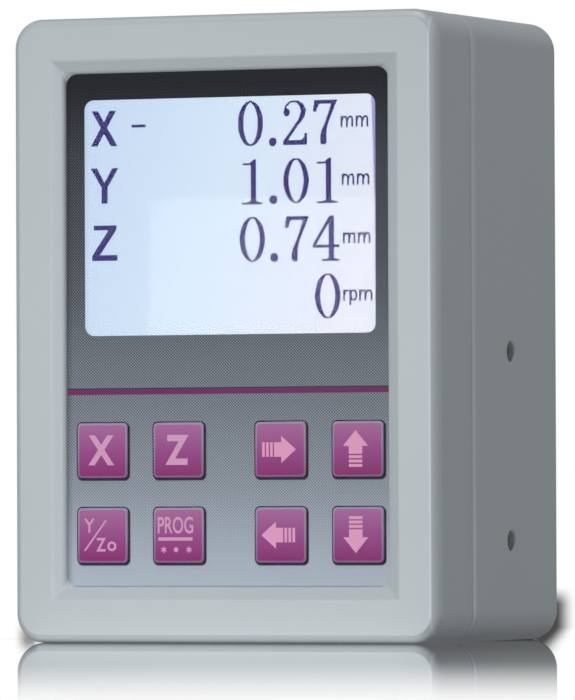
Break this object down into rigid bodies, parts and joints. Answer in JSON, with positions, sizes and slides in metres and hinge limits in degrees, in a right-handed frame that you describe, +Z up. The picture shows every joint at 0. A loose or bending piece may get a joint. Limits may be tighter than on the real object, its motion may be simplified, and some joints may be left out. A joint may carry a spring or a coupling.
{
  "type": "digital readout unit",
  "caption": "Upright grey display unit for a machine tool, with a recessed foil, a backlit screen, sprung square keys, rear plug sockets and threaded side inserts.",
  "frame": {"origin": "middle of the base, on the surface the unit stands on", "axes": "+Z up; the front face with screen and keys looks towards -Y; +X is to the right of someone who reads the screen"},
  "size_m": [0.1182, 0.0816, 0.16],
  "materials": {
    "grey_case": "light grey, fine moulded grain",
    "black_rubber": "matt black",
    "printed_foil": "satin polyester foil, dark at the top and fading to light grey-blue in a dot screen",
    "purple_key": "purple, lighter at the top, pale pink markings",
    "clear_lens": "clear acrylic",
    "screen_glass": "backlit liquid-crystal glass, pale blue with dark blue characters",
    "white_lightguide": "white diffuser",
    "black_steel": "black sheet steel",
    "green_board": "green solder mask",
    "black_plastic": "black moulded plastic",
    "white_plastic": "off-white moulded plastic",
    "zinc_steel": "zinc-plated steel",
    "brass": "turned brass",
    "blue_sleeve": "shrink sleeve",
    "grey_ribbon": "grey flat cable"
  },
  "bodies": {
    "case": {"front_shell": "grey_case", "rear_shell": "grey_case", "shell_seal": "black_rubber", "front_foil": "printed_foil", "display_window": "clear_lens", "lcd_bezel": "black_steel", "lcd_glass": "screen_glass", "lcd_backlight": "white_lightguide", "lcd_board": "green_board", "switch_x": "black_plastic", "switch_z": "black_plastic", "switch_right": "black_plastic", "switch_up": "black_plastic", "switch_y_z0": "black_plastic", "switch_prog": "black_plastic", "switch_left": "black_plastic", "switch_down": "black_plastic", "key_board": "green_board", "main_board": "green_board", "processor": "black_plastic", "regulator": "black_plastic", "capacitor_lower": "blue_sleeve", "capacitor_upper": "blue_sleeve", "lcd_header": "white_plastic", "key_header": "white_plastic", "lcd_ribbon": "grey_ribbon", "key_ribbon": "grey_ribbon", "sensor_socket_x": "black_plastic", "sensor_socket_y": "black_plastic", "sensor_socket_z": "black_plastic", "sensor_socket_speed": "black_plastic", "power_socket": "black_plastic", "side_insert_left_lower": "brass", "side_insert_left_upper": "brass", "side_insert_right_lower": "brass", "side_insert_right_upper": "brass", "case_screw_bottom_left": "zinc_steel", "case_screw_bottom_right": "zinc_steel", "case_screw_top_left": "zinc_steel", "case_screw_top_right": "zinc_steel", "lcd_screw_bottom_left": "zinc_steel", "lcd_screw_bottom_right": "zinc_steel", "lcd_screw_top_left": "zinc_steel", "lcd_screw_top_right": "zinc_steel", "main_board_screw_bottom_left": "zinc_steel", "main_board_screw_bottom_right": "zinc_steel", "main_board_screw_top_left": "zinc_steel", "main_board_screw_top_right": "zinc_steel", "key_board_screw_lower": "zinc_steel", "key_board_screw_upper": "zinc_steel"},
    "key_x": {"key_x": "purple_key"},
    "key_z": {"key_z": "purple_key"},
    "key_right": {"key_right": "purple_key"},
    "key_up": {"key_up": "purple_key"},
    "key_y_z0": {"key_y_z0": "purple_key"},
    "key_prog": {"key_prog": "purple_key"},
    "key_left": {"key_left": "purple_key"},
    "key_down": {"key_down": "purple_key"}
  },
  "joints": [
    {"name": "key_x_press", "type": "slide", "parent": "case", "child": "key_x", "axis": [0, 1, 0], "range_m": [0, 0.0005], "stiffness_N_per_m": 2000, "springref_m": -0.0003},
    {"name": "key_z_press", "type": "slide", "parent": "case", "child": "key_z", "axis": [0, 1, 0], "range_m": [0, 0.0005], "stiffness_N_per_m": 2000, "springref_m": -0.0003},
    {"name": "key_right_press", "type": "slide", "parent": "case", "child": "key_right", "axis": [0, 1, 0], "range_m": [0, 0.0005], "stiffness_N_per_m": 2000, "springref_m": -0.0003},
    {"name": "key_up_press", "type": "slide", "parent": "case", "child": "key_up", "axis": [0, 1, 0], "range_m": [0, 0.0005], "stiffness_N_per_m": 2000, "springref_m": -0.0003},
    {"name": "key_y_z0_press", "type": "slide", "parent": "case", "child": "key_y_z0", "axis": [0, 1, 0], "range_m": [0, 0.0005], "stiffness_N_per_m": 2000, "springref_m": -0.0003},
    {"name": "key_prog_press", "type": "slide", "parent": "case", "child": "key_prog", "axis": [0, 1, 0], "range_m": [0, 0.0005], "stiffness_N_per_m": 2000, "springref_m": -0.0003},
    {"name": "key_left_press", "type": "slide", "parent": "case", "child": "key_left", "axis": [0, 1, 0], "range_m": [0, 0.0005], "stiffness_N_per_m": 2000, "springref_m": -0.0003},
    {"name": "key_down_press", "type": "slide", "parent": "case", "child": "key_down", "axis": [0, 1, 0], "range_m": [0, 0.0005], "stiffness_N_per_m": 2000, "springref_m": -0.0003}
  ]
}
